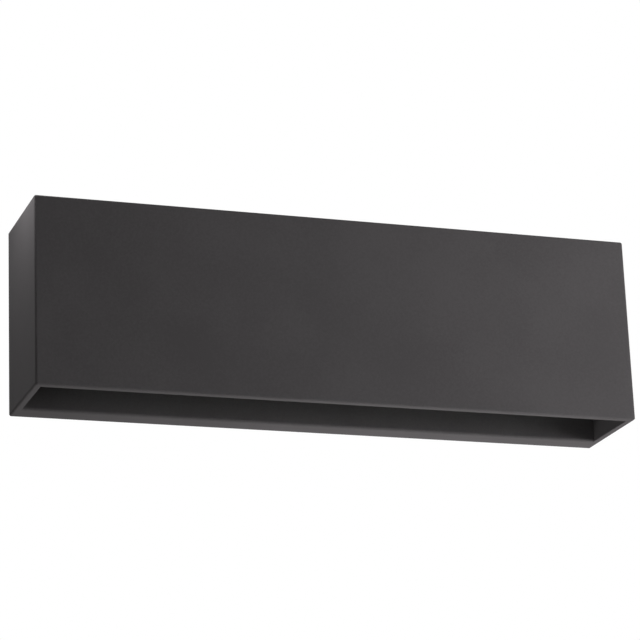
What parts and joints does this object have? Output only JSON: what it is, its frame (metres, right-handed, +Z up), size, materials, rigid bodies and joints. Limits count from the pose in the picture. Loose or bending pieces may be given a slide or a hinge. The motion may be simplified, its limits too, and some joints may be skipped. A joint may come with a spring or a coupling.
{
  "type": "outdoor wall light",
  "caption": "Rectangular up-and-down outdoor wall light: a cast box with a recessed frosted pane above and below, which slides on to a folded wall bracket.",
  "frame": {"origin": "on the wall plane, midway between the two wall-screw slots", "axes": "+X to the right along the light's width, seen from the front; +Y into the wall; +Z up"},
  "size_m": [0.28, 0.05, 0.086],
  "materials": {
    "anthracite_powder_coat": "anthracite powder coat, fine satin texture",
    "black_powder_coat": "black powder coat, satin",
    "bare_aluminium": "mill finish sheet",
    "stainless_steel": "turned, satin",
    "galvanised_steel": "zinc coated sheet",
    "frosted_glass": "etched on the inner face",
    "silicone": "matte",
    "black_rubber": "matte",
    "grey_foam": "closed-cell foam",
    "board_white": "white solder mask on an aluminium core",
    "lamp_phosphor": "yellow phosphor in a white case",
    "reflector_white": "matte white",
    "driver_case": "moulded, light grey",
    "cover_black": "moulded, fine spark texture",
    "terminal_nylon": "natural nylon",
    "plain_brass": "turned"
  },
  "bodies": {
    "bracket": {"wall_bracket": "galvanised_steel", "wall_gasket": "grey_foam", "cable_grommet": "black_rubber"},
    "light": {"housing": "anthracite_powder_coat", "gear_tray": "bare_aluminium", "tray_screws": "stainless_steel", "driver": "driver_case", "driver_screws": "stainless_steel", "rear_cover": "cover_black", "rear_cover_gasket": "silicone", "rear_cover_screws": "stainless_steel", "terminal_block": "terminal_nylon", "terminal_screws": "plain_brass", "earth_screw": "plain_brass", "lead_grommet": "black_rubber", "locking_screws": "stainless_steel", "locking_nuts": "stainless_steel", "glass_gasket_down": "silicone", "glass_down": "frosted_glass", "retainer_frame_down": "black_powder_coat", "retainer_screws_down": "stainless_steel", "led_board_down": "board_white", "leds_down": "lamp_phosphor", "board_screws_down": "stainless_steel", "reflector_down": "reflector_white", "glass_gasket_up": "silicone", "glass_up": "frosted_glass", "retainer_frame_up": "black_powder_coat", "retainer_screws_up": "stainless_steel", "led_board_up": "board_white", "leds_up": "lamp_phosphor", "board_screws_up": "stainless_steel", "reflector_up": "reflector_white"}
  },
  "joints": [
    {"name": "housing_release", "type": "slide", "parent": "bracket", "child": "light", "axis": [0, -1, 0], "range_m": [0, 0.0072]}
  ]
}
